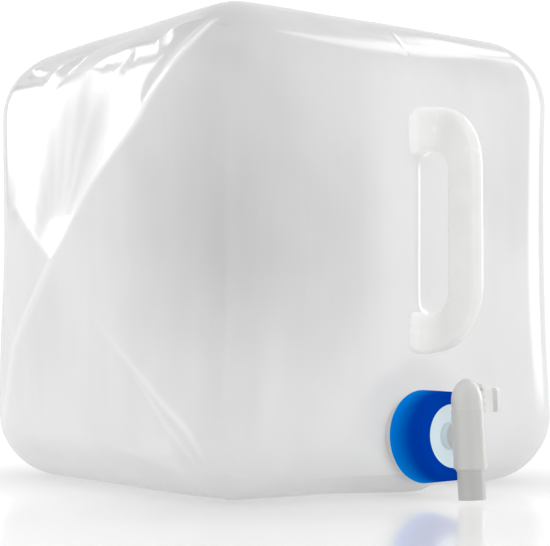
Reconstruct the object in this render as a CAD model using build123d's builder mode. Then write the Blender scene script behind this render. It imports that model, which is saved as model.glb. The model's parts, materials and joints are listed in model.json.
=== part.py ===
from build123d import *
import os
from math import cos, radians, sin

# Collapsible water cube: a blow-moulded polyethylene bladder with a moulded-in carry handle, and a
# threaded neck that holds a screw collar, a gasket and a quarter-turn tap.
#
# Frame: millimetres, +Z up, origin at the centre of the base. The handle and the tap are on the front
# face, which faces -Y. The tap pieces are built about the neck's axis, which leans up a little.

# --- Driving dimensions ---------------------------------------------------------------------------

CUBE_SIDE = 280  # width, depth and height of the full bladder
EDGE_RADIUS = 45
WALL = 1.0

NECK_HEIGHT = 34.4  # of the neck's axis above the base, at the front face
NECK_TILT = 3.8  # degrees that the neck leans up
NECK_LENGTH = 25
NECK_BORE = 18.5  # radius
NECK_RADIUS = 21
NECK_FLARE_RADIUS = 24  # where the neck meets the front face
NECK_FLARE_LENGTH = 5
NECK_INSET = 22  # how far the neck runs in behind the front face to meet the rounded lower edge

THREAD_PITCH = 5
THREAD_TURNS = 1.5
THREAD_DEPTH = 1.3
THREAD_ROOT_WIDTH = 2.4
THREAD_CREST_WIDTH = 1.4
THREAD_EMBED = 0.4  # how far a thread's root is sunk into its wall
THREAD_PLAY = 0.25  # along the axis, between the flanks that bear on each other
NECK_THREAD_START = 11.5

COLLAR_BACK = 8  # distance of the collar's open edge from the front face
COLLAR_BACK_RADIUS = 26.6
COLLAR_FRONT_RADIUS = 24.7
COLLAR_BORE = 22.9  # radius inside the skirt
COLLAR_LIP = 2.2
COLLAR_HOLE = 17.8  # radius of the hole that the tap looks out of
COLLAR_ROUNDING = 1.5

GASKET_THICKNESS = 2
FLANGE_RADIUS = 21.2
FLANGE_THICKNESS = 2.5
FACE_PLAY = 0.05  # between the flange and the collar's lip
PLUG_RADIUS = 18.1  # skirt of the tap that centres it in the neck
PLUG_WALL = 1.6
PLUG_LENGTH = 5
INLET_RADIUS = 8
INLET_BORE = 5

TAP_REACH = 44  # distance of the tap's upright axis from the front face
BARREL_RADIUS = 9.3
BARREL_TOP = 14.5  # above the neck's axis, measured along the barrel
BARREL_BOTTOM = -18
STEM_RADIUS = 7.6
STEM_CLEARANCE = 0.05
STEM_BORE = 6
STEM_BORE_TOP = 9
PORT_RADIUS = 4.6
SPOUT_BOTTOM = -35.2
BEAD_HEIGHT = 1.6
BEAD_PROUD = 0.6  # of the snap bead that keeps the key in the barrel
KEY_PLAY = 0.1  # of the key along the barrel

DOME_RADIUS = 8.9
DOME_HEIGHT = 17
DOME_STRAIGHT = 4  # height of the dome's upright skirt

LEVER_REACH = 21.8  # from the key's axis to the outside of the end plate
LEVER_ROOT = 4
LEVER_LOW = 12.3  # above the neck's axis, beyond the barrel
LEVER_HIGH = 26
LEVER_SLOPE = 3.5  # how much higher the web is at the dome
LEVER_CLEARANCE = 0.8  # over and round the barrel
WEB_THICKNESS = 1.8
END_PLATE_THICKNESS = 2.6
END_PLATE_WIDTH = 9
END_PLATE_CORNER = 2.2
RIB_THICKNESS = 1.6
RIB_WIDTH = 4
RIB_LENGTH = 5
RIB_COUNT = 4

HANDLE_REACH = 54
HANDLE_LOW = 84.5
HANDLE_HIGH = 223
HANDLE_ROOT_LOW = 80  # where the lower arm has widened, at the front face
HANDLE_ROOT_HIGH = 227
HANDLE_ROOT_LENGTH = 18
HANDLE_ROOT_EASE = 20  # radius where the widening starts
HANDLE_THICKNESS = 8
HANDLE_CORNER = 33
HANDLE_ROUNDING = 2.7
GRIP_WIDTH = 24
ROOT_STRIP = 3  # height of the strip that joins the handle's two arms along the face
OPENING_LOW = 105
OPENING_HIGH = 198
OPENING_CORNER = 12

# --- Frames and axes ------------------------------------------------------------------------------

FRONT = -CUBE_SIDE / 2
MIDDLE = CUBE_SIDE / 2
FLAT_SIDE = CUBE_SIDE - 2 * EDGE_RADIUS  # width of the flat part of each face
HOLLOW_SIDE = CUBE_SIDE - 2 * WALL

TILT = radians(NECK_TILT)
OUTWARD = Vector(0, -cos(TILT), sin(TILT))
UPWARD = Vector(0, sin(TILT), cos(TILT))
NECK_ROOT = Vector(0, FRONT, NECK_HEIGHT)
NECK_AXIS = Axis(NECK_ROOT, OUTWARD)
TAP_CENTRE = NECK_ROOT + OUTWARD * TAP_REACH
KEY_AXIS = Axis(TAP_CENTRE, UPWARD)

FLANGE_BACK = NECK_LENGTH + GASKET_THICKNESS
LIP_BACK = FLANGE_BACK + FLANGE_THICKNESS + FACE_PLAY
COLLAR_FRONT = LIP_BACK + COLLAR_LIP
COLLAR_THREAD_START = NECK_THREAD_START + (THREAD_ROOT_WIDTH + THREAD_CREST_WIDTH) / 2 + THREAD_PLAY
DOME_BASE = BARREL_TOP + KEY_PLAY
BEAD_TOP = BARREL_BOTTOM - KEY_PLAY
RIB_START = BARREL_RADIUS + LEVER_CLEARANCE

# Local x runs along the axis and local y away from it, so a profile is drawn as (along, radius).
neck_section = Plane(origin=NECK_ROOT, x_dir=OUTWARD, z_dir=(-1, 0, 0))
key_section = Plane(origin=TAP_CENTRE, x_dir=UPWARD, z_dir=(1, 0, 0))
lever_section = Plane(origin=TAP_CENTRE, x_dir=(1, 0, 0), z_dir=OUTWARD)
handle_section = Plane(origin=(0, FRONT, 0), x_dir=(0, -1, 0), z_dir=(-1, 0, 0))


def across_neck(distance):
    """The plane square to the neck's axis at a distance from the front face."""
    return Plane(origin=NECK_ROOT + OUTWARD * distance, x_dir=(-1, 0, 0), z_dir=OUTWARD)


def across_key(height):
    """The plane square to the key's axis at a height above the neck's axis."""
    return Plane(origin=TAP_CENTRE + UPWARD * height, x_dir=(1, 0, 0), z_dir=UPWARD)


def save(piece, name):
    """Labels a finished piece and writes it as one STEP file."""
    piece.label = name
    export_step(piece, f"parts/{name}.step")


os.makedirs("parts", exist_ok=True)

# --- Bladder: a rounded cube of thin film, open at the neck; its back wall is a separate panel ------

with BuildPart() as filled_cube:
    with Locations((0, 0, MIDDLE)):
        Box(CUBE_SIDE, CUBE_SIDE, CUBE_SIDE)
    fillet(filled_cube.edges(), EDGE_RADIUS)

with BuildPart() as hollow:
    with Locations((0, 0, MIDDLE)):
        Box(HOLLOW_SIDE, HOLLOW_SIDE, HOLLOW_SIDE)
    fillet(hollow.edges(), EDGE_RADIUS - WALL)

with BuildPart() as bladder_shell:
    add(filled_cube.part)
    add(hollow.part, mode=Mode.SUBTRACT)
    with Locations((0, (CUBE_SIDE - WALL) / 2, MIDDLE)):
        Box(FLAT_SIDE, WALL, FLAT_SIDE, mode=Mode.SUBTRACT)
    with BuildSketch(across_neck(-NECK_INSET)):
        Circle(NECK_BORE)
    extrude(amount=NECK_INSET + 2 * WALL, mode=Mode.SUBTRACT)
save(bladder_shell.part, "bladder_shell")

with BuildPart() as back_wall:
    with Locations((0, (CUBE_SIDE - WALL) / 2, MIDDLE)):
        Box(FLAT_SIDE, WALL, FLAT_SIDE)
save(back_wall.part, "back_wall")

# --- Threads: one right-hand ridge on the neck, and one inside the collar that runs behind it ------

with BuildPart() as neck_thread:
    with BuildLine():
        neck_coil = Helix(
            THREAD_PITCH,
            THREAD_PITCH * THREAD_TURNS,
            NECK_RADIUS - THREAD_EMBED,
            center=NECK_ROOT + OUTWARD * NECK_THREAD_START,
            direction=OUTWARD,
        )
    away = (neck_coil @ 0 - NECK_ROOT - OUTWARD * NECK_THREAD_START).normalized()
    with BuildSketch(Plane(origin=neck_coil @ 0, x_dir=away, z_dir=neck_coil % 0)):
        Polygon(
            (0, -THREAD_ROOT_WIDTH / 2),
            (THREAD_EMBED + THREAD_DEPTH, -THREAD_CREST_WIDTH / 2),
            (THREAD_EMBED + THREAD_DEPTH, THREAD_CREST_WIDTH / 2),
            (0, THREAD_ROOT_WIDTH / 2),
            align=None,
        )
    sweep(path=neck_coil, is_frenet=True)

with BuildPart() as collar_thread:
    with BuildLine():
        collar_coil = Helix(
            THREAD_PITCH,
            THREAD_PITCH * THREAD_TURNS,
            COLLAR_BORE + THREAD_EMBED,
            center=NECK_ROOT + OUTWARD * (COLLAR_THREAD_START - THREAD_PITCH),
            direction=OUTWARD,
        )
    inward = (NECK_ROOT + OUTWARD * (COLLAR_THREAD_START - THREAD_PITCH) - collar_coil @ 0).normalized()
    with BuildSketch(Plane(origin=collar_coil @ 0, x_dir=inward, z_dir=collar_coil % 0)):
        Polygon(
            (0, -THREAD_ROOT_WIDTH / 2),
            (THREAD_EMBED + THREAD_DEPTH, -THREAD_CREST_WIDTH / 2),
            (THREAD_EMBED + THREAD_DEPTH, THREAD_CREST_WIDTH / 2),
            (0, THREAD_ROOT_WIDTH / 2),
            align=None,
        )
    sweep(path=collar_coil, is_frenet=True)

# --- Neck: the bladder's threaded mouth, with a flare into the front face --------------------------

with BuildPart() as bladder_neck:
    with BuildSketch(neck_section):
        with BuildLine():
            Polyline(
                (-NECK_INSET, NECK_BORE),
                (NECK_LENGTH, NECK_BORE),
                (NECK_LENGTH, NECK_RADIUS),
                (NECK_FLARE_LENGTH, NECK_RADIUS),
                (0, NECK_FLARE_RADIUS),
                (-NECK_INSET, NECK_FLARE_RADIUS),
                close=True,
            )
        make_face()
    revolve(axis=NECK_AXIS)
    add(filled_cube.part, mode=Mode.SUBTRACT)
    add(neck_thread.part)
save(bladder_neck.part, "bladder_neck")

# --- Carry handle: a flat D-shaped loop on the moulding's parting line -----------------------------

with BuildPart() as carry_handle:
    with BuildSketch(handle_section):
        with BuildLine():
            FilletPolyline(
                (0, HANDLE_ROOT_LOW),
                (HANDLE_ROOT_LENGTH, HANDLE_LOW),
                (HANDLE_REACH, HANDLE_LOW),
                (HANDLE_REACH, HANDLE_HIGH),
                (HANDLE_ROOT_LENGTH, HANDLE_HIGH),
                (0, HANDLE_ROOT_HIGH),
                radius=[HANDLE_ROOT_EASE, HANDLE_CORNER, HANDLE_CORNER, HANDLE_ROOT_EASE],
            )
            Line((0, HANDLE_ROOT_HIGH), (0, HANDLE_ROOT_LOW))
        make_face()
        opening_width = HANDLE_REACH - GRIP_WIDTH - ROOT_STRIP
        opening_height = OPENING_HIGH - OPENING_LOW
        with Locations((ROOT_STRIP + opening_width / 2, (OPENING_LOW + OPENING_HIGH) / 2)):
            RectangleRounded(opening_width, opening_height, OPENING_CORNER, mode=Mode.SUBTRACT)
    extrude(amount=HANDLE_THICKNESS / 2, both=True)
    rims = carry_handle.faces().filter_by(Axis.X).edges()
    fillet(rims.filter_by(lambda rim: rim.center().Y < FRONT - ROOT_STRIP + 0.1), HANDLE_ROUNDING)
save(carry_handle.part, "carry_handle")

# --- Screw collar: a tapered ring with a lip that pulls the tap's flange onto the gasket -----------

with BuildPart() as screw_collar:
    with BuildSketch(neck_section):
        with BuildLine():
            Polyline(
                (COLLAR_BACK, COLLAR_BORE),
                (COLLAR_BACK, COLLAR_BACK_RADIUS),
                (COLLAR_FRONT, COLLAR_FRONT_RADIUS),
                (COLLAR_FRONT, COLLAR_HOLE),
                (LIP_BACK, COLLAR_HOLE),
                (LIP_BACK, COLLAR_BORE),
                close=True,
            )
        make_face()
    revolve(axis=NECK_AXIS)
    rims = screw_collar.edges().filter_by(GeomType.CIRCLE).sort_by(NECK_AXIS)
    fillet(rims.group_by(NECK_AXIS)[-1].sort_by(SortBy.RADIUS)[-1], COLLAR_ROUNDING)
    add(collar_thread.part)
save(screw_collar.part, "screw_collar")

# --- Gasket: the flat ring between the neck's rim and the tap's flange ------------------------------

with BuildPart() as tap_gasket:
    with BuildSketch(across_neck(NECK_LENGTH)):
        Circle(FLANGE_RADIUS)
        Circle(NECK_BORE, mode=Mode.SUBTRACT)
    extrude(amount=GASKET_THICKNESS)
save(tap_gasket.part, "tap_gasket")

# --- Tap body: flange, centring skirt, inlet tube and upright barrel -------------------------------

with BuildPart() as tap_body:
    with BuildSketch(across_neck(FLANGE_BACK)):
        Circle(FLANGE_RADIUS)
    extrude(amount=FLANGE_THICKNESS)
    with BuildSketch(across_neck(FLANGE_BACK)):
        Circle(PLUG_RADIUS)
        Circle(PLUG_RADIUS - PLUG_WALL, mode=Mode.SUBTRACT)
    extrude(amount=-(GASKET_THICKNESS + PLUG_LENGTH))
    with BuildSketch(across_neck(FLANGE_BACK)):
        Circle(INLET_RADIUS)
    extrude(amount=TAP_REACH - FLANGE_BACK)
    with BuildSketch(across_key(BARREL_BOTTOM)):
        Circle(BARREL_RADIUS)
    extrude(amount=BARREL_TOP - BARREL_BOTTOM)
    with BuildSketch(across_key(BARREL_BOTTOM)):
        Circle(STEM_RADIUS + STEM_CLEARANCE)
    extrude(amount=BARREL_TOP - BARREL_BOTTOM, mode=Mode.SUBTRACT)
    with BuildSketch(across_neck(FLANGE_BACK)):
        Circle(INLET_BORE)
    extrude(amount=TAP_REACH - FLANGE_BACK, mode=Mode.SUBTRACT)
save(tap_body.part, "tap_body")

# --- Tap key: dome, lever, ported hollow stem and spout in one piece, shown shut -------------------

with BuildPart() as tap_key:
    with BuildSketch(key_section):
        with BuildLine():
            Polyline(
                (DOME_BASE + DOME_HEIGHT, 0),
                (STEM_BORE_TOP, 0),
                (STEM_BORE_TOP, STEM_BORE),
                (SPOUT_BOTTOM, STEM_BORE),
                (SPOUT_BOTTOM, STEM_RADIUS),
                (BEAD_TOP - BEAD_HEIGHT, STEM_RADIUS),
                (BEAD_TOP - BEAD_HEIGHT / 2, STEM_RADIUS + BEAD_PROUD),
                (BEAD_TOP, STEM_RADIUS + BEAD_PROUD),
                (BEAD_TOP, STEM_RADIUS),
                (DOME_BASE, STEM_RADIUS),
                (DOME_BASE, DOME_RADIUS),
                (DOME_BASE + DOME_STRAIGHT, DOME_RADIUS),
            )
            EllipticalCenterArc(
                (DOME_BASE + DOME_STRAIGHT, 0),
                DOME_HEIGHT - DOME_STRAIGHT,
                DOME_RADIUS,
                start_angle=0,
                arc_size=90,
            )
        make_face()
    revolve(axis=KEY_AXIS)
    with BuildSketch(lever_section):
        Polygon(
            (LEVER_ROOT, BARREL_TOP + LEVER_CLEARANCE),
            (RIB_START, BARREL_TOP + LEVER_CLEARANCE),
            (RIB_START, LEVER_LOW),
            (LEVER_REACH, LEVER_LOW),
            (LEVER_REACH, LEVER_HIGH),
            (LEVER_ROOT, LEVER_HIGH + LEVER_SLOPE),
            align=None,
        )
    extrude(amount=WEB_THICKNESS / 2, both=True)
    with BuildSketch(lever_section):
        rib_spacing = (LEVER_HIGH - LEVER_LOW - RIB_THICKNESS) / (RIB_COUNT - 1)
        rib_middle = RIB_START + RIB_LENGTH / 2
        for rib in range(RIB_COUNT):
            with Locations((rib_middle, LEVER_LOW + RIB_THICKNESS / 2 + rib * rib_spacing)):
                Rectangle(RIB_LENGTH, RIB_THICKNESS)
    extrude(amount=RIB_WIDTH / 2, both=True)
    plate_centre = TAP_CENTRE + Vector(LEVER_REACH, 0, 0) + UPWARD * (LEVER_LOW + LEVER_HIGH) / 2
    with BuildSketch(Plane(origin=plate_centre, x_dir=OUTWARD, z_dir=(1, 0, 0))):
        RectangleRounded(END_PLATE_WIDTH, LEVER_HIGH - LEVER_LOW, END_PLATE_CORNER)
    extrude(amount=-END_PLATE_THICKNESS)
    with BuildSketch(Plane(origin=TAP_CENTRE, x_dir=UPWARD, z_dir=(-1, 0, 0))):
        Circle(PORT_RADIUS)
    extrude(amount=2 * STEM_RADIUS, mode=Mode.SUBTRACT)
save(tap_key.part, "tap_key")
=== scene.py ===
import bpy, json, math
import numpy as np
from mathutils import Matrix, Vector


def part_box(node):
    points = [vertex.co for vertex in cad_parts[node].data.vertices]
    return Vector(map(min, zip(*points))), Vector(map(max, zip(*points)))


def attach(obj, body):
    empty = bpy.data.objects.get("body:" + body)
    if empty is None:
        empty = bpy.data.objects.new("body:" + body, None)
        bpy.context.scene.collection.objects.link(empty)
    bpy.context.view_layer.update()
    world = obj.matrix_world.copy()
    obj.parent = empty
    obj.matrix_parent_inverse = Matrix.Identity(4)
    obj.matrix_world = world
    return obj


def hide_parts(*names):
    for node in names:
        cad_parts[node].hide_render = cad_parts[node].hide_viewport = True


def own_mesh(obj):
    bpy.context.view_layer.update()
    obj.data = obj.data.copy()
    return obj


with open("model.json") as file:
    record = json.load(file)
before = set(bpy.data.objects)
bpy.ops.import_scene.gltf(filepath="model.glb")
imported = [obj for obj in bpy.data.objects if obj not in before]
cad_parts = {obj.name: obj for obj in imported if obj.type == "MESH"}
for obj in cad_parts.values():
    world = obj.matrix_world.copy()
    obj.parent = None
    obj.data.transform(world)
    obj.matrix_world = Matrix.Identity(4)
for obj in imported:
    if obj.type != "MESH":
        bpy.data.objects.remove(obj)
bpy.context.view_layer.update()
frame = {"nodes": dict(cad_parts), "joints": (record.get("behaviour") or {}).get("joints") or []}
MM = 0.001
WHITE = (1, 1, 1, 1)
CENTRE = (0, 0, 0.14)  # the middle of the bag, in metres
PHOTO_SIDE = 37  # the azimuth the photograph is taken from, in degrees
# the plain bag in millimetres: half its side, half its flat part, its edge radius, and what counts as on a face
REACH, CORE, ROUND, ON_FACE = 140, 95, 45, 139.9
lo = np.array(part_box("bladder_shell")[0])
scene = bpy.context.scene


def joint(name):
    return next(j for j in frame["joints"] if j["name"] == name)


neck_root = np.array(joint("collar_turn")["pos_m"])
neck_dir = np.array(joint("collar_turn")["axis"])

# ---------------------------------------------------------------- camera


def around_object(azimuth, elevation, far, high=CENTRE[2]):
    """A place far metres from the object; azimuth runs from the front towards the creased side, in degrees."""
    a, e = math.radians(azimuth), math.radians(elevation)
    return (-far * math.sin(a) * math.cos(e), -far * math.cos(a) * math.cos(e), high + far * math.sin(e))


def set_camera():
    """The photograph's view: a long lens, low down, off to the creased side of the handle."""
    data = bpy.data.cameras.new("camera")
    data.sensor_width = 36
    data.lens = 97.2
    data.shift_x = 0.0094
    data.clip_end = 50
    cam = bpy.data.objects.new("camera", data)
    scene.collection.objects.link(cam)
    turn, far, high, pitch = math.radians(36.81), 0.97175, 0.09368, 0.0409
    cam.location = (-far * math.sin(turn), -far * math.cos(turn), high)
    cam.rotation_euler = (math.pi / 2 + pitch, 0, -turn)
    scene.camera = cam


set_camera()

# ---------------------------------------------------------------- node helpers


class Nodes:
    """A few short calls for building a material's node tree."""

    def __init__(self, name):
        self.mat = bpy.data.materials.new(name)
        self.mat.use_nodes = True
        self.tree = self.mat.node_tree
        self.tree.nodes.clear()
        self.out = self.add("ShaderNodeOutputMaterial")

    def add(self, kind, **values):
        node = self.tree.nodes.new(kind)
        for key, value in values.items():
            if key in node.inputs:
                self.put(value, node.inputs[key])
            else:
                setattr(node, key, value)
        return node

    def put(self, value, socket):
        if isinstance(value, bpy.types.NodeSocket):
            self.tree.links.new(value, socket)
        else:
            socket.default_value = value

    def place(self):
        return self.add("ShaderNodeTexCoord").outputs["Object"]

    def noise(self, scale, detail=3, rough=0.5, stretch=(1, 1, 1)):
        mapped = self.add("ShaderNodeMapping", Vector=self.place(), Scale=stretch)
        n = self.add("ShaderNodeTexNoise", Vector=mapped.outputs[0], Scale=scale, Detail=detail, Roughness=rough)
        return n.outputs["Fac"]

    def ramp(self, value, low, high, out_low, out_high):
        """out_low where value is at low or less, out_high where it is at high or more, and an S between them."""
        m = self.add("ShaderNodeMapRange", interpolation_type="SMOOTHSTEP")
        for i, v in enumerate((value, low, high, out_low, out_high)):
            self.put(v, m.inputs[i])
        return m.outputs[0]

    def math(self, op, a, b=0.0):
        m = self.add("ShaderNodeMath", operation=op)
        self.put(a, m.inputs[0])
        self.put(b, m.inputs[1])
        return m.outputs[0]

    def mix(self, factor, a, b):
        """Colour a where factor is 0, b where it is 1."""
        m = self.add("ShaderNodeMix", data_type="RGBA")
        self.put(factor, m.inputs[0])
        self.put(a, m.inputs[6])
        self.put(b, m.inputs[7])
        return m.outputs[2]

    def bump(self, height, distance, strength=1.0, normal=None):
        b = self.add("ShaderNodeBump", Strength=strength, Distance=distance, Height=height)
        if normal is not None:
            self.put(normal, b.inputs["Normal"])
        return b.outputs[0]

    def finish(self, surface):
        self.tree.links.new(surface, self.out.inputs[0])
        return self.mat


def film_material():
    """Milky blown film, with painted shade: darker around one place by the near upright edge, and along the top.
    Creased film is paler, and so is film that carries painted light. Where haze isn't 0 it shines less, and where it
    is above 0 it is rougher as well."""
    n = Nodes("film")
    place = n.place()
    cloud = n.noise(9, 3)
    streak = n.noise(26, 4, 0.6, (1, 1, 0.12))
    fine = n.noise(420, 2)
    crease_and_painted_light = n.add("ShaderNodeAttribute", attribute_name="crease_and_painted_light").outputs["Fac"]
    haze = n.add("ShaderNodeAttribute", attribute_name="haze").outputs["Fac"]
    apart = n.add("ShaderNodeVectorMath", operation="DISTANCE")
    n.put(place, apart.inputs[0])
    # painted shade: the film is darker close to this point by the near upright edge, and lighter away from it
    painted_shade_centre = (-0.125, -0.14, 0.165)
    n.put(painted_shade_centre, apart.inputs[1])
    clear_of_painted_shade = n.ramp(apart.outputs["Value"], 0.01, 0.165, 0, 1)
    axes = n.add("ShaderNodeSeparateXYZ", Vector=place)
    # painted shade: the film is darker along the top, most on the creased side
    high_up = n.ramp(axes.outputs[2], 0.235, 0.277, 0, 1)
    painted_top_shade = n.math("MULTIPLY", high_up, n.ramp(axes.outputs[0], -0.13, -0.09, 0.85, 0.42))
    tone = n.math("ADD", n.math("MULTIPLY", cloud, 0.6), n.math("MULTIPLY", streak, 0.4))
    tone = n.math("ADD", n.math("MULTIPLY", n.ramp(tone, 0.35, 0.65, 0, 1), 0.35), n.math("MULTIPLY", clear_of_painted_shade, 0.7))
    colour = n.mix(tone, (0.56, 0.561, 0.561, 1), (0.88, 0.876, 0.876, 1))
    colour = n.mix(painted_top_shade, colour, (0.50, 0.501, 0.501, 1))
    # paler along the creases, and painted light where the film carries it
    colour = n.mix(crease_and_painted_light, colour, (0.94, 0.942, 0.942, 1))
    rough = n.math("ADD", n.ramp(cloud, 0.3, 0.7, 0.10, 0.17), n.math("MULTIPLY", crease_and_painted_light, 0.1))
    rough = n.math("ADD", rough, n.ramp(haze, 0, 1, 0, 0.4))
    dull = n.math("ABSOLUTE", haze)
    bump = n.bump(fine, 0.00006, 0.35, n.bump(streak, 0.0006, 0.25))
    skin = n.add("ShaderNodeBsdfPrincipled", **{"Base Color": colour, "Roughness": rough, "IOR": 1.5,
                 "Coat Weight": n.ramp(dull, 0, 1, 0.25, 0), "Coat Roughness": 0.05,
                 "Specular IOR Level": n.ramp(dull, 0, 1, 0.5, 0.04), "Normal": bump})
    through = n.add("ShaderNodeBsdfTranslucent", Color=(0.86, 0.86, 0.865, 1), Normal=bump)
    both = n.add("ShaderNodeMixShader")
    share_through = 0.32
    n.put(share_through, both.inputs[0])
    n.put(skin.outputs[0], both.inputs[1])
    n.put(through.outputs[0], both.inputs[2])
    return n.finish(both.outputs[0])


def moulded(name, low, high, rough, sss=0.0, radius=0.004, grain=0.00004, shine=0.5, tint=(1, 1, 1), zone=None,
            shades=()):
    """Moulded plastic; zone is a second colour and where it takes over, in metres from the neck's root. Each
    shade is an axis, where it starts and ends, and how light the plastic is at both."""
    n = Nodes(name)
    cloud = n.noise(45, 3)
    fine = n.noise(900, 3)
    colour = n.mix(n.ramp(cloud, 0.3, 0.7, 0, 1), (*low, 1), (*high, 1))
    if zone:
        second, start, end = zone
        along = n.add("ShaderNodeVectorMath", operation="DOT_PRODUCT")
        n.put(n.place(), along.inputs[0])
        n.put(tuple(neck_dir), along.inputs[1])
        along = n.math("SUBTRACT", along.outputs["Value"], float(neck_root @ neck_dir))
        colour = n.mix(n.ramp(along, start, end, 0, 1), colour, (*second, 1))
    for axis, start, end, before, after in shades:
        light = n.ramp(n.add("ShaderNodeSeparateXYZ", Vector=n.place()).outputs[axis], start, end, before, after)
        scaled = n.add("ShaderNodeVectorMath", operation="SCALE", Scale=light)
        n.put(colour, scaled.inputs[0])
        colour = scaled.outputs[0]
    skin = n.add("ShaderNodeBsdfPrincipled", **{
        "Base Color": colour, "Roughness": n.ramp(cloud, 0.3, 0.7, rough * 0.85, rough * 1.15), "IOR": 1.5,
        "Subsurface Weight": sss, "Subsurface Radius": (1, 1, 1), "Subsurface Scale": radius,
        "Specular IOR Level": shine, "Specular Tint": (*tint, 1), "Normal": n.bump(fine, grain, 0.4)})
    return n.finish(skin.outputs[0])


def floor_material():
    """White acrylic lit from below: it mirrors softly in front of the object, and its glow is dimmer close around
    it, a painted contact shadow.
    """
    n = Nodes("studio_floor")
    place = n.add("ShaderNodeNewGeometry").outputs["Position"]
    axes = n.add("ShaderNodeSeparateXYZ", Vector=place)
    # how far out, measured in squares with rounded corners, as the bag's plan is
    fourths = [n.math("POWER", n.math("ABSOLUTE", axes.outputs[i]), 4) for i in (0, 1)]
    apart = n.math("POWER", n.math("ADD", *fourths), 0.25)
    # painted shadow: the floor's glow is dimmer close around the bag
    lit = n.add("ShaderNodeEmission", Color=WHITE, Strength=n.ramp(apart, 0.12, 0.23, 0.50, 0.68))
    matt = n.add("ShaderNodeBsdfDiffuse", Color=(0.36, 0.36, 0.36, 1))
    gloss = n.add("ShaderNodeBsdfGlossy", Color=WHITE, Roughness=n.ramp(n.noise(3, 2), 0.3, 0.7, 0.11, 0.14))
    body = n.add("ShaderNodeAddShader")
    both = n.add("ShaderNodeMixShader")
    n.put(lit.outputs[0], body.inputs[0])
    n.put(matt.outputs[0], body.inputs[1])
    depth = n.add("ShaderNodeVectorMath", operation="DOT_PRODUCT")
    n.put(place, depth.inputs[0])
    n.put(around_object(PHOTO_SIDE, 0, 1, 0), depth.inputs[1])
    forward = n.ramp(depth.outputs["Value"], 0.07, 0.22, 0.02, 0.48)
    mirror = n.math("MULTIPLY", forward, n.ramp(apart, 0.32, 0.48, 1, 0))
    n.put(mirror, both.inputs[0])
    n.put(body.outputs[0], both.inputs[1])
    n.put(gloss.outputs[0], both.inputs[2])
    return n.finish(both.outputs[0])


film = film_material()
# painted light and shade: the handle is lighter at its root, where it meets the film, and darker out on the grip
handle_mat = moulded("handle_plastic", (0.84, 0.84, 0.825), (0.88, 0.88, 0.865), 0.24, 0.4, 0.004,
                     shades=((1, -0.172, -0.148, 0.92, 1.09),))
collar_mat = moulded("collar_plastic", (0.0, 0.205, 0.71), (0.0, 0.225, 0.77), 0.3, 0.3, 0.003, 0.00003, 0.0,
                     (0.0, 0.6, 1.0), ((0.0, 0.042, 0.36), 0.006, 0.026))
# painted light: near the neck the tap body is a pale blue-white, for blue light from the collar and light down the
# neck; past the zone it is its own grey
tap_mat = moulded("tap_plastic", (0.66, 0.78, 0.83), (0.66, 0.78, 0.83), 0.36, 0.15, 0.003, shine=0.7,
                  zone=((0.53, 0.53, 0.515), 0.0335, 0.0355))
# painted light: the lever is lighter, lifting the shade it sits in; the key is also darker towards the bottom
key_mat = moulded("key_plastic", (0.55, 0.55, 0.535), (0.59, 0.59, 0.575), 0.36, 0.2, 0.004, shine=0.7,
                  shades=((2, 0.016, 0.026, 0.78, 1), (0, 0.010, 0.013, 1, 1.32)))
gasket_mat = moulded("gasket_rubber", (0.62, 0.62, 0.59), (0.66, 0.66, 0.63), 0.55)


def dress(node, mat):
    """The CAD mesh stays; its material is replaced."""
    for s in frame["nodes"][node].material_slots:
        s.material = mat


dress("bladder_neck", film)
dress("screw_collar", collar_mat)
dress("tap_body", tap_mat)
dress("tap_key", key_mat)
dress("tap_gasket", gasket_mat)
for name in ("screw_collar", "tap_body", "tap_key"):
    frame["nodes"][name].visible_diffuse = False  # keeps blue and shade off the film

# ---------------------------------------------------------------- bladder


def eased(values):
    """Chaikin's corner cutting, twice: a polyline's sharp turns become small curves."""
    values = np.asarray(values, float)
    for _ in range(2):
        a, b = values[:-1], values[1:]
        cut = np.stack([0.75 * a + 0.25 * b, 0.25 * a + 0.75 * b], 1).reshape(-1, *values.shape[1:])
        values = np.concatenate([values[:1], cut, values[-1:]])
    return values


def line_field(points, heights, y, z):
    """Distance to a polyline, the side it is on, and its height at the nearest point."""
    points, heights = eased(points), eased(heights)
    best = np.full(y.shape, 1e9)
    side = np.zeros(y.shape)
    tall = np.zeros(y.shape)
    for (y0, z0), (y1, z1), h0, h1 in zip(points, points[1:], heights, heights[1:]):
        dy, dz = y1 - y0, z1 - z0
        t = np.clip(((y - y0) * dy + (z - z0) * dz) / (dy * dy + dz * dz), 0, 1)
        d = np.hypot(y - y0 - t * dy, z - z0 - t * dz)
        s = np.sign(dy * (z - z0) - dz * (y - y0))
        near = d < best
        best = np.where(near, d, best)
        side = np.where(near, s, side)
        tall = np.where(near, h0 + t * (h1 - h0), tall)
    return best, side, tall


def tent(points, heights, left, right, y, z, round_off=0.8):
    """A crease: highest on its line, falling away over its own reach on each side. All in millimetres."""
    d, side, tall = line_field(points, heights, y, z)
    d = np.sqrt(d * d + round_off**2) - round_off
    reach = np.where(side > 0, left, right)
    return tall * np.exp(-d / reach), bell(d / 1.2) * np.clip(np.abs(tall) / 2, 0, 1)


def smooth(t):
    """0 below 0, 1 above 1, and an easy S between them."""
    t = np.clip(t, 0, 1)
    return t * t * (3 - 2 * t)


def bell(t, power=2):
    """1 at 0, and falling away to both sides."""
    return np.exp(-(np.abs(t) ** power))


def dome(a, b, power=2.0):
    """1 in the middle of a face, falling smoothly to 0 at its rim; a and b run from -1 to 1."""
    return smooth(np.clip(1 - np.abs(a) ** power, 0, 1) * np.clip(1 - np.abs(b) ** power, 0, 1))


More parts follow.
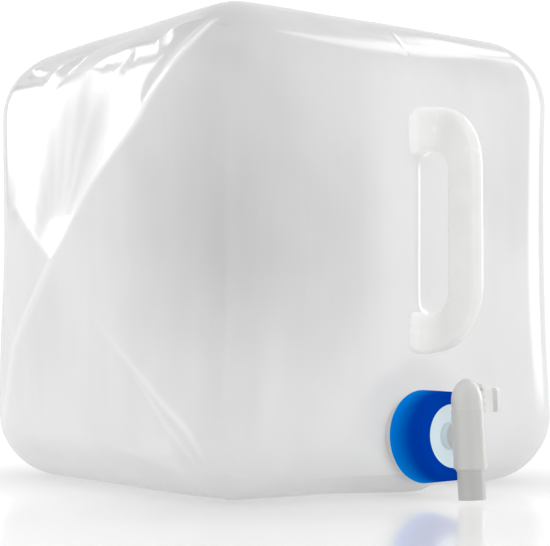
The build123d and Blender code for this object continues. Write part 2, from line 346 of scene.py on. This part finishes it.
# Fold lines left by the flat-packed bladder, as (depth, height) on the creased side in millimetres, and
# run on round its edges. Each has its height along the way, its reach on either side, and its softness. The
# three in PINCHED meet in the pinch.
PINCH = (16, 139)
PINCHED = {
    "to_top": ([PINCH, (6, 150), (-7, 165), (-20, 177), (-34, 188), (-51, 199), (-71, 213), (-80, 224),
                (-90, 234), (-103, 244), (-116, 258), (-126, 282)],
               [8, 7.6, 7, 6.6, 6.2, 5.8, 5.2, 4.8, 4.4, 3.8, 2.8, 1.2], 60, 44, 0.8),
    "to_far_top": ([PINCH, (46, 154), (69, 166), (88, 177)], [8, 6, 3.6, 1], 40, 34, 1.0),
    "to_far_foot": ([PINCH, (26, 131), (47, 113), (66, 95), (78, 83), (91, 52), (104, 30)],
                    [8, 7.6, 6.8, 5.8, 4.8, 2.6, 0], 36, 34, 0.8),
}
CREASED = {
    "beside_top": ([(-75, 223), (-83, 232), (-92, 239), (-102, 248), (-109, 259), (-117, 274), (-119, 294)],
                   [0, -1.2, -1.9, -2.1, -2.0, -1.4, 0], 3, 2.5, 0.6),
    "to_foot": ([(-22, 106), (-47, 87), (-74, 70), (-90, 59), (-112, 44), (-120, 32), (-124, 14)],
                [0, 1.2, 1.9, 2.3, 2.3, 1.6, 0], 16, 7, 0.8),
    "beside_foot": ([(-50, 84), (-74, 65), (-94, 48), (-111, 33), (-118, 8)], [0, 0.9, 1.4, 1.2, 0], 6, 14, 0.9),
    "bead": ([PINCH, (26, 131), (47, 113), (66, 95), (78, 83), (91, 52)], [0, 0.9, 0.9, 0.8, 0.6, 0], 2, 2, 0.6),
    "along_foot": ([(35, 39), (-39, 32), (-81, 18), (-113, 7)], [0, 0.5, 0.6, 0], 14, 14, 2.0),
    "rim_1": ([(50, 238), (24, 254), (2, 284)], [0, -2.0, 0], 5, 5, 1.0),
    "rim_2": ([(9, 253), (-10, 251), (-29, 248)], [0, 1.2, 0], 3, 3, 1.0),
    "rim_3": ([(-38, 242), (-50, 245), (-60, 252)], [0, 2.0, 0], 5, 3, 1.0),
    "rim_4": ([(-80, 258), (-95, 268), (-112, 281)], [0, 3.2, 0.5], 10, 4, 1.0),
    "rim_5": ([(84, 264), (79, 271), (74, 280)], [0, 2.2, 0], 6, 4, 1.0),
    "rim_6": ([(50, 251), (36, 262), (25, 275)], [0, 3.0, 0], 8, 4, 1.0),
}
# the middle line of the hazed patch, and half its width along the way
HAZED = ([PINCH, (33, 152), (37, 168), (12, 192), (-5, 212)], [2, 9, 20, 50, 42])


def left_face(y, z):
    """Outward rise of the creased side, how pale each point is (crease whitening, and a painted highlight along the
    fold to the far foot), and how hazed.
    """
    crease_white_and_painted_light = np.zeros(y.shape)
    power = 4
    pinch = np.zeros(y.shape)
    for name, fold in PINCHED.items():
        h, w = tent(*fold[:4], y, z, fold[4])
        pinch += h**power
        # the fold to the far foot gets a wider pale band: a painted highlight along its ridge
        crease_white_and_painted_light = np.maximum(crease_white_and_painted_light, w ** (0.15 if name == "to_far_foot" else 0.5))
    rise = 2.5 * dome(y / REACH, z / REACH - 1, 2.6) + pinch ** (1 / power)
    for fold in CREASED.values():
        h, w = tent(*fold[:4], y, z, fold[4])
        rise += h
        crease_white_and_painted_light = np.maximum(crease_white_and_painted_light, w * 0.6)
    # a slow fold that fans out from the pinch, up the upper facet: it climbs slowly and drops by the crease
    r = np.hypot(y - PINCH[0], z - PINCH[1])
    turn = np.degrees(np.arctan2(z - PINCH[1], y - PINCH[0]))
    climb = smooth((turn - 82) / 36) - 0.6 * smooth((turn - 114) / 16) - 0.4 * smooth((turn - 130) / 20)
    rise += 0.020 * r * climb * smooth((170 - r) / 90)
    # beside it the film is hazed in a kite-shaped patch
    far, _, width = line_field(*HAZED, y, z)
    haze = bell(far / width, 3) * (0.92 + 0.08 * np.sin(turn / 2.3)) * smooth((r - 4) / 30)
    return rise, crease_white_and_painted_light, 0.9 * haze


def plain_face(a, b, tall, seed):
    """A quieter face: a shallow swell with faint remains of the diagonal folds."""
    rng = np.random.default_rng(seed)
    rise = np.zeros(a.shape)
    for corner in ((-1, -1), (-1, 1), (1, -1), (1, 1)):
        mid = (rng.uniform(-16, 16), rng.uniform(-16, 16))
        bend = (corner[0] * 66 + rng.uniform(-9, 9), corner[1] * 66 + rng.uniform(-9, 9))
        end = (corner[0] * 122, corner[1] * 122)
        h, _ = tent([mid, bend, end], [1.3, 1.0, 0], 26, 20, a * REACH, b * REACH, 2.0)
        rise += h
    return rise * dome(a, b, 8) + tall * dome(a, b, 2.4)


def film_shape(cube):
    """Where a point of the plain cube goes on the filled bladder, in mm, how pale it is from creases and painted
    light, and how hazed.
    """
    x, y, z = cube.T
    front = y < -ON_FACE
    inner = np.clip(cube, -CORE, CORE)
    normal = cube - inner
    normal /= np.linalg.norm(normal, axis=1)[:, None]
    # the creased side's field runs on round its edges, fading
    past = x + REACH
    left, crease_white_and_painted_light, haze = left_face(np.where(np.abs(y) > ON_FACE, y + np.sign(y) * past, y),
                                 np.where(np.abs(z) > ON_FACE, z + np.sign(z) * past, z) + REACH)
    fade = bell(past / 26)
    rise, crease_white_and_painted_light, haze = left * fade, crease_white_and_painted_light * fade, haze * fade
    for mask, a, b, tall, seed in (
            (x > ON_FACE, y, z, 7.0, 4), (y > ON_FACE, x, z, 7.0, 5), (z > ON_FACE, x, y, 4.0, 6)):
        rise += np.where(mask, plain_face(a / REACH, b / REACH, tall, seed), 0)
    # the front swells beside the handle's opening, and is drawn out into the handle's two roots, with a small
    # knuckle at either end of the opening
    swell = bell((np.abs(x) - 26) / 20) * bell((z - 14) / 66)
    root = (bell((z + 47) / 17, 4) + bell((z - 72) / 17, 4)) * bell(x / 12)
    knuckle = (bell((z + 36) / 4) + bell((z - 58) / 4)) * bell(x / 5)
    rise += np.where(front, 2.4 * dome(x / REACH, z / REACH, 2.2) + 2.0 * swell + 1.6 * root + 2.0 * knuckle, 0)
    # slow waves all over, the parting line, and its seam left of the opening
    wave = (np.sin(x / 31 + 1.3) * np.sin(z / 37 + 0.4) + np.sin(y / 29 + z / 53 + 2.1)
            + 0.6 * np.sin(x / 17 + y / 19 + z / 23))
    rise += 0.3 * wave + 0.12 * bell(x / 1.5)
    seam = bell(x / 1.3) * np.where(front, smooth((z + 38) / 6) * smooth((62 - z) / 6), 0)
    rise += 0.5 * seam
    # painted light: the film is paler left of the handle, around the neck and low down, standing for light on the
    # bulge, light lifting the collar's shade, and light up from the floor; it is also dull around the neck
    painted_light_patch = np.where(front, 0.6 * bell((x + 14) / 26) * bell((z - 14) / 78, 4), 0)
    from_neck = np.hypot(x - neck_root[0] / MM, z + REACH - neck_root[2] / MM)
    by_neck = np.where(front, smooth((100 - from_neck) / 78), 0)
    crease_white_and_painted_light = np.maximum(crease_white_and_painted_light, np.maximum(0.4 * seam, painted_light_patch)) + 0.4 * smooth((-40 - z) / 90) + 0.7 * by_neck
    haze = np.where(front, -0.7 * by_neck, haze)
    # what the bag stands on is flat
    rise *= smooth((z + ON_FACE) / 30)
    p = inner + normal * ROUND
    # half way up, the upright edges of blown film are slacker than at the corners: a rounder plan
    power = 3.3
    m = cube[:, :2] / REACH
    plan = REACH * m / np.maximum((np.abs(m) ** power).sum(1) ** (1 / power), 0.01)[:, None]
    level = np.clip(1 - (p[:, 2] / 128) ** 2, 0, 1) ** 1.2
    near = np.clip(0.5 - x / (2 * REACH), 0, 1) * np.clip(0.5 - y / (2 * REACH), 0, 1)
    loose = level * (0.14 + 0.66 * near**1.5)
    p[:, :2] += np.where(np.abs(z) < ON_FACE, loose, 0)[:, None] * (plan - p[:, :2])
    p += normal * rise[:, None]
    p[:, 2] += REACH
    # low down the bag is a little wider, and its near foot is lifted off the floor
    foot = 1 + 0.014 * np.clip(1 - p[:, 2] / 150, 0, 1) ** 1.5
    p[:, 0] *= foot
    p[:, 1] *= np.where(p[:, 1] < 0, 1, foot)
    p[:, 2] += 1.8 * smooth(1 - np.hypot(p[:, 0] + REACH, p[:, 1] + REACH) / 110) * smooth(1 - p[:, 2] / 40)
    p[:, 2] = np.maximum(p[:, 2], 0)
    # the film is drawn out to meet the neck's flare
    ahead = (p - neck_root / MM) @ neck_dir
    r = np.linalg.norm(p - neck_root / MM - np.outer(ahead, neck_dir), axis=1)
    drawn = smooth((46 - r) / 19) * (p[:, 1] < -90)
    p += np.outer(drawn * (0.7 - ahead), neck_dir)
    return p, crease_white_and_painted_light, haze


def stations(step, turns, fine=False):
    """Stations across one face: round the edges by angle, then across the flat part. Fine ones are closer
    together near the parting line."""
    turn = np.tan(np.linspace(-math.pi / 4, 0, turns + 1))
    flat = np.linspace(-CORE, CORE, int(2 * CORE / step) + 1)
    if fine:
        flat = np.sort(np.concatenate([flat[np.abs(flat) > 7], np.linspace(-6, 6, 25)]))
    return np.concatenate([ROUND * turn[:-1] - CORE, flat, CORE - ROUND * turn[-2::-1]])


def bladder_mesh():
    """The whole film: six gridded faces of a cube, welded, moved to where film_shape says."""
    xs, ys, zs = stations(2.6, 18, fine=True), stations(1.2, 28), stations(1.2, 28)
    index, cube, quads = {}, [], []
    for axis in (0, 1, 2):
        u, v = [(ys, zs), (xs, zs), (xs, ys)][axis]
        for sign in (-1, 1):
            U, V = np.meshgrid(u, v, indexing="ij")
            P = np.insert(np.stack([U, V], -1), axis, float(REACH) * sign, axis=2)
            grid = np.zeros(U.shape, int)
            for i, row in enumerate(P):
                for j, point in enumerate(row):
                    key = tuple(np.round(point, 4))
                    if key not in index:
                        index[key] = len(cube)
                        cube.append(point)
                    grid[i, j] = index[key]
            q = np.stack([grid[:-1, :-1], grid[1:, :-1], grid[1:, 1:], grid[:-1, 1:]], -1).reshape(-1, 4)
            quads.append(q if sign * (1, -1, 1)[axis] > 0 else q[:, ::-1])
    p, crease_white_and_painted_light, haze = film_shape(np.array(cube))
    co = p * MM
    quads = np.concatenate(quads)
    # a way through for the neck
    mouth = np.linalg.norm(np.cross(co - neck_root, neck_dir), axis=1)
    inside = (mouth < 20 * MM) & (co[:, 1] < lo[1] + 40 * MM)
    quads = quads[~inside[quads].all(axis=1)]
    me = bpy.data.meshes.new("bladder_film")
    me.from_pydata(co.tolist(), [], quads.tolist())
    me.update()
    for name, values in (("crease_and_painted_light", crease_white_and_painted_light), ("haze", haze)):
        me.attributes.new(name, "FLOAT", "POINT").data.foreach_set("value", values.astype(np.float32))
    me.polygons.foreach_set("use_smooth", [True] * len(me.polygons))
    obj = bpy.data.objects.new("bladder_film", me)
    scene.collection.objects.link(obj)
    me.materials.append(film)
    return obj


bag = bladder_mesh()
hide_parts("bladder_shell", "back_wall")
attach(bag, "bladder")
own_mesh(bag)

# ---------------------------------------------------------------- carry handle


def rounded_loop(corners, count):
    """A closed outline of evenly spaced points through corners (x, y, radius)."""
    pts = []
    places = [np.array(c[:2], float) for c in corners]
    for i, (_, _, radius) in enumerate(corners):
        before, here, after = places[i - 1], places[i], places[(i + 1) % len(corners)]
        back = (before - here) / np.linalg.norm(before - here)
        ahead = (after - here) / np.linalg.norm(after - here)
        half = math.acos(np.clip(back @ ahead, -1, 1)) / 2
        middle = (back + ahead) / np.linalg.norm(back + ahead)
        centre = here + middle * radius / math.sin(half)
        start = here + back * radius / math.tan(half) - centre
        end = here + ahead * radius / math.tan(half) - centre
        for t in np.linspace(0, 1, 24):
            arm = start * (1 - t) + end * t
            pts.append(centre + arm / np.linalg.norm(arm) * radius)
    loop = np.array(pts + pts[:1])
    run = np.r_[0, np.cumsum(np.linalg.norm(np.diff(loop, axis=0), axis=1))]
    s = np.linspace(0, run[-1], count, endpoint=False)
    return np.c_[np.interp(s, run, loop[:, 0]), np.interp(s, run, loop[:, 1])]


def handle_mesh():
    """A crowned loop: a ring of sections between the finger gap and the outer edge, sunk into the film."""
    hlo, hhi = (np.array(c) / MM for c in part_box("carry_handle"))
    front = lo[1] / MM
    # outlines are (how far out from the front, height, corner radius), in millimetres
    reach, low, high = front - hlo[1], hlo[2], hhi[2]
    sunk = -4
    outer = rounded_loop([(sunk, low - 1, 0.5), (14, low + 2.5, 20), (reach, low + 7, 36), (reach, high - 4, 33),
                          (18, high - 4, 20), (sunk, high + 1, 0.5)], 2400)
    gap = rounded_loop([(0.5, low + 25, 9), (reach - 24, low + 25, 13), (reach - 24, high - 29, 13),
                        (0.5, high - 29, 9)], 240)
    # each point of the gap is paired with the outer edge straight outwards from it
    tangent = np.roll(gap, -1, 0) - np.roll(gap, 1, 0)
    away = np.c_[tangent[:, 1], -tangent[:, 0]]
    away /= np.linalg.norm(away, axis=1)[:, None]
    edge = []
    for g, a in zip(gap, away):
        rel = outer - g
        off = np.abs(rel @ np.array([-a[1], a[0]])) + np.where(rel @ a > 0, 0, 1e3)
        edge.append(outer[np.argmin(off)])
    edge = np.array(edge)
    for _ in range(12):
        edge = (np.roll(edge, 1, 0) + 2 * edge + np.roll(edge, -1, 0)) / 4
    around = 36  # points in one section, which is a superellipse of this power
    power = 3.2
    verts = []
    for g, o in zip(gap, edge):
        centre, half = (g + o) / 2, (o - g) / 2
        for k in range(around):
            c, s = math.cos(2 * math.pi * k / around), math.sin(2 * math.pi * k / around)
            across = math.copysign(abs(c) ** (2 / power), c)
            up = math.copysign(abs(s) ** (2 / power), s)
            e, z = centre + half * across
            dished = 1 - 0.14 * (1 - min(1, (across / 0.8) ** 2))
            flare = 5 * smooth(1 - (e - 1) / 12) ** 2
            thick = dished * min(4.3, 0.55 * np.linalg.norm(half) + 1.6) + flare
            verts.append((up * thick * MM, (front - e) * MM, z * MM))
    count = len(gap)
    faces = [(i * around + k, (i + 1) % count * around + k, (i + 1) % count * around + (k + 1) % around,
              i * around + (k + 1) % around) for i in range(count) for k in range(around)]
    me = bpy.data.meshes.new("handle_loop")
    me.from_pydata(verts, [], faces)
    me.polygons.foreach_set("use_smooth", [True] * len(me.polygons))
    me.update()
    obj = bpy.data.objects.new("handle_loop", me)
    scene.collection.objects.link(obj)
    me.materials.append(handle_mat)
    return obj


grip = handle_mesh()
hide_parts("carry_handle")
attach(grip, "bladder")
# it throws no shade on the film, and isn't mirrored in it
grip.visible_diffuse = grip.visible_glossy = grip.visible_shadow = False

# ---------------------------------------------------------------- stage


def stage_plane(name, size, place, look, mat):
    """A flat panel of the studio that faces the point look."""
    me = bpy.data.meshes.new(name)
    w, h = size[0] / 2, size[1] / 2
    me.from_pydata([(-w, -h, 0), (w, -h, 0), (w, h, 0), (-w, h, 0)], [], [(0, 1, 2, 3)])
    obj = bpy.data.objects.new(name, me)
    obj.location = place
    obj.rotation_euler = (Vector(look) - Vector(place)).to_track_quat("Z", "Y").to_euler()
    scene.collection.objects.link(obj)
    me.materials.append(mat)
    return obj


SURROUND = 1.1  # the radiance of the white room around everything
stage_plane("studio_floor", (12, 12), (0, 0, 0), (0, 0, 1), floor_material())
world = bpy.data.worlds.new("studio")
scene.world = world
world.use_nodes = True
world.node_tree.nodes["Background"].inputs[0].default_value = WHITE
world.node_tree.nodes["Background"].inputs[1].default_value = SURROUND


def softbox(name, azimuth, elevation, far, size, radiance, rims, seen_in_gloss):
    """A glowing panel that fades out over its rims (left, right, low, high). It either shows in reflections or
    fills in the shading, as a studio's strip lights and its overhead bounce do."""
    n = Nodes(name)
    place = n.add("ShaderNodeSeparateXYZ", Vector=n.place())
    glow = radiance
    for axis in (0, 1):
        for edge, rim in ((n.math("ADD", place.outputs[axis], size[axis] / 2), rims[2 * axis]),
                          (n.math("SUBTRACT", size[axis] / 2, place.outputs[axis]), rims[2 * axis + 1])):
            glow = n.math("MULTIPLY", glow, n.ramp(edge, 0, rim, 0, 1))
    mat = n.finish(n.add("ShaderNodeEmission", Color=WHITE, Strength=glow).outputs[0])
    obj = stage_plane(name, size, around_object(azimuth, elevation, far), CENTRE, mat)
    obj.visible_camera = False
    obj.visible_diffuse = obj.visible_transmission = not seen_in_gloss
    obj.visible_glossy = seen_in_gloss
    return obj


softbox("back_left", 153, 17, 2.2, (1.35, 0.9), 6, (0.1, 0.45, 0.15, 0.15), True)
softbox("back_high", 160, 35, 2.2, (1.2, 0.3), 5, (0.2, 0.2, 0.08, 0.08), True)
softbox("fill_front", 20, 18, 2.5, (2.4, 1.8), 2.9, (0.4, 0.4, 0.4, 0.4), False)
softbox("fill_left", 96, 18, 2.5, (2.0, 1.8), 2.5, (0.4, 0.4, 0.4, 0.4), False)


def ribbon(name, path, far, radiance):
    """A glowing ribbon that only shows in reflections, along points (azimuth, elevation, half its width), in
    degrees. It fades out over its sides and its ends."""
    path = eased(path)
    spots = np.array([around_object(a, e, far) for a, e, _ in path]) - CENTRE
    along = np.gradient(spots, axis=0)
    across = np.cross(along, spots)
    across /= np.linalg.norm(across, axis=1)[:, None]
    rows = 9
    last = len(path) - 1
    co, glow, faces = [], [], []
    for i, (spot, side) in enumerate(zip(spots, across)):
        wide = far * math.radians(path[i][2])
        for k in range(rows):
            t = 2 * k / (rows - 1) - 1
            co.append(spot + side * wide * t + CENTRE)
            glow.append(float(smooth(1.6 * (1 - abs(t))) * smooth(4 * min(i, last - i) / last)))
    for i in range(last):
        faces += [(i * rows + k, i * rows + k + 1, (i + 1) * rows + k + 1, (i + 1) * rows + k)
                  for k in range(rows - 1)]
    me = bpy.data.meshes.new(name)
    me.from_pydata(co, [], faces)
    me.attributes.new("glow", "FLOAT", "POINT").data.foreach_set("value", np.array(glow, np.float32))
    n = Nodes(name)
    strength = n.ramp(n.add("ShaderNodeAttribute", attribute_name="glow").outputs["Fac"], 0, 1, SURROUND, radiance)
    me.materials.append(n.finish(n.add("ShaderNodeEmission", Color=WHITE, Strength=strength).outputs[0]))
    obj = bpy.data.objects.new(name, me)
    scene.collection.objects.link(obj)
    obj.visible_camera = obj.visible_diffuse = obj.visible_transmission = False


ribbon("side_right", [(-72, -8, 20), (-72, 4, 20), (-72, 16, 18), (-77, 27, 12), (-86, 38, 7), (-97, 47, 4)], 2.2, 6)
ribbon("top_right", [(-110, 43, 4), (-98, 47.5, 4.5), (-85, 51, 4.5), (-70, 53, 4.5), (-58, 54, 4.5)], 2.2, 4)


def shade_material():
    """A grey card behind the camera, darkest in its middle, that models the unlit side of a studio."""
    n = Nodes("camera_side_card")
    ball = n.add("ShaderNodeTexGradient", gradient_type="SPHERICAL", Vector=n.add(
        "ShaderNodeMapping", Vector=n.place(), Scale=(0.65, 0.65, 1)).outputs[0]).outputs["Fac"]
    grey = n.ramp(ball, 0, 0.8, 1.0, 0.05)
    return n.finish(n.add("ShaderNodeEmission", Color=WHITE, Strength=grey).outputs[0])


card = stage_plane("camera_side_card", (3.2, 3.2), around_object(PHOTO_SIDE, 14, 2.4), CENTRE, shade_material())
card.visible_camera = False

scene.view_settings.view_transform = "Standard"
scene.view_settings.look = "None"
scene.view_settings.exposure = 0
scene.view_settings.gamma = 1
